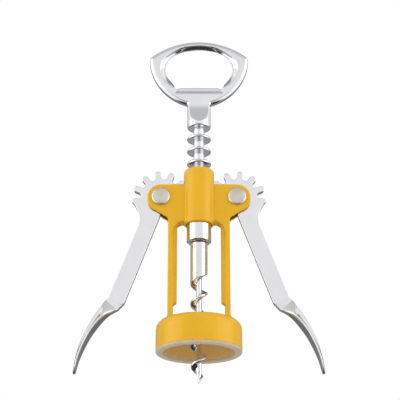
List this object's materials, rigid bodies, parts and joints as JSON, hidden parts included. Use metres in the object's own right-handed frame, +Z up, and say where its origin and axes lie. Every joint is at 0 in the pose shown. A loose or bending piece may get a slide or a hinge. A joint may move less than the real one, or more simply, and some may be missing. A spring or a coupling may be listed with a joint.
{
  "type": "wing corkscrew",
  "caption": "Wing corkscrew: geared levers drive a ringed rack through a painted frame, with an auger worm, a lined bell and a bottle opener handle.",
  "frame": {"origin": "on the axis of the bottle's bore, in the plane of the bell's lower edge", "axes": "+Z up along the worm's axis to the handle, +X to the right lever as seen from the front, -Y to the front"},
  "size_m": [0.1094, 0.038, 0.1668],
  "materials": {
    "yellow_paint": "gloss enamel on die-cast zinc",
    "grey_plastic": "matt warm grey",
    "satin_nickel": "satin nickel",
    "chrome": "polished chrome plate"
  },
  "bodies": {
    "body": {"frame": "yellow_paint", "bell_liner": "grey_plastic", "left_rivet": "satin_nickel", "right_rivet": "satin_nickel"},
    "left_lever": {"left_lever": "chrome"},
    "right_lever": {"right_lever": "chrome"},
    "rack": {"rack_sleeve": "chrome"},
    "screw": {"handle": "chrome", "spindle": "chrome", "worm": "chrome"}
  },
  "joints": [
    {"name": "left_lever_swing", "type": "hinge", "parent": "body", "child": "left_lever", "pos_m": [-0.01735, 0, 0.07135], "axis": [0, 1, 0], "range_deg": [0, 125]},
    {"name": "right_lever_swing", "type": "hinge", "parent": "body", "child": "right_lever", "pos_m": [0.01735, 0, 0.07135], "axis": [0, -1, 0], "range_deg": [0, 125.5]},
    {"name": "rack_slide", "type": "slide", "parent": "body", "child": "rack", "axis": [0, 0, -1], "range_m": [0, 0.0265]},
    {"name": "handle_turn", "type": "hinge", "parent": "rack", "child": "screw", "pos_m": [0, 0, 0.11], "axis": [0, 0, 1], "continuous": true}
  ],
  "couplings": [
    {"joint": "right_lever_swing", "follows": "left_lever_swing", "ratio": 1},
    {"joint": "rack_slide", "follows": "left_lever_swing", "m_per_rad": 0.012032}
  ]
}
